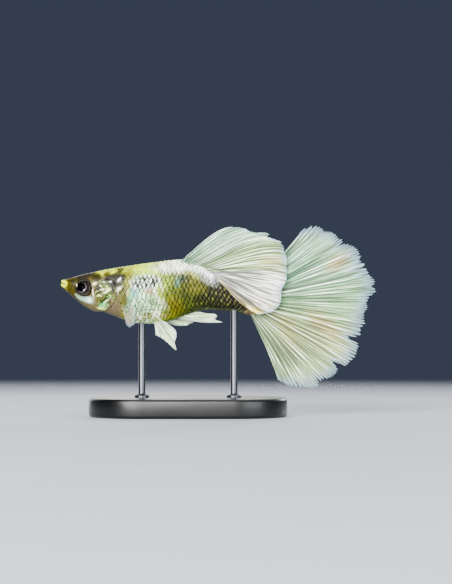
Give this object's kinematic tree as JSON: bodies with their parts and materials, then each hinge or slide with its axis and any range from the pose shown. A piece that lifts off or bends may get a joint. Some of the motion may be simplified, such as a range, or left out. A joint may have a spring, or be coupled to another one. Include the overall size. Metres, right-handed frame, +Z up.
{
  "type": "fancy guppy",
  "caption": "Life-size male fancy guppy with a wide fan tail and a swept back fin, held level by two short rods on a flat oval base.",
  "frame": {"origin": "middle of the underside of the stand's base, on the fish's midline", "axes": "+X from the snout towards the tail, +Y towards the fish's right side, +Z up"},
  "size_m": [0.0497, 0.017, 0.0303],
  "materials": {
    "skin_head": "wet skin, olive and yellow with silver cheeks",
    "skin_trunk": "wet scales, platinum white, lemon and mint with olive edges",
    "skin_stalk": "wet scales, dark olive with golden spots",
    "gill": "pearly, mottled mint and yellow green",
    "eye": "clear and wet, black pupil in a dark silver iris",
    "fin": "thin milky membrane with white rays",
    "clear_fin": "thin clear membrane with fine rays",
    "stand_plate": "satin black acrylic",
    "stand_steel": "fine brushed steel"
  },
  "bodies": {
    "root": {"head": "skin_head", "lower_jaw": "skin_head", "eye_left": "eye", "eye_right": "eye", "gill_cover_left": "gill", "gill_cover_right": "gill", "trunk": "skin_trunk", "tail_stalk": "skin_stalk", "tail_fin": "fin", "back_fin": "fin", "gonopodium": "fin", "belly_fin_left": "fin", "belly_fin_right": "fin", "breast_fin_left": "clear_fin", "breast_fin_right": "clear_fin", "stand_base": "stand_plate", "stand_rod_front": "stand_steel", "stand_rod_rear": "stand_steel"}
  },
  "joints": []
}
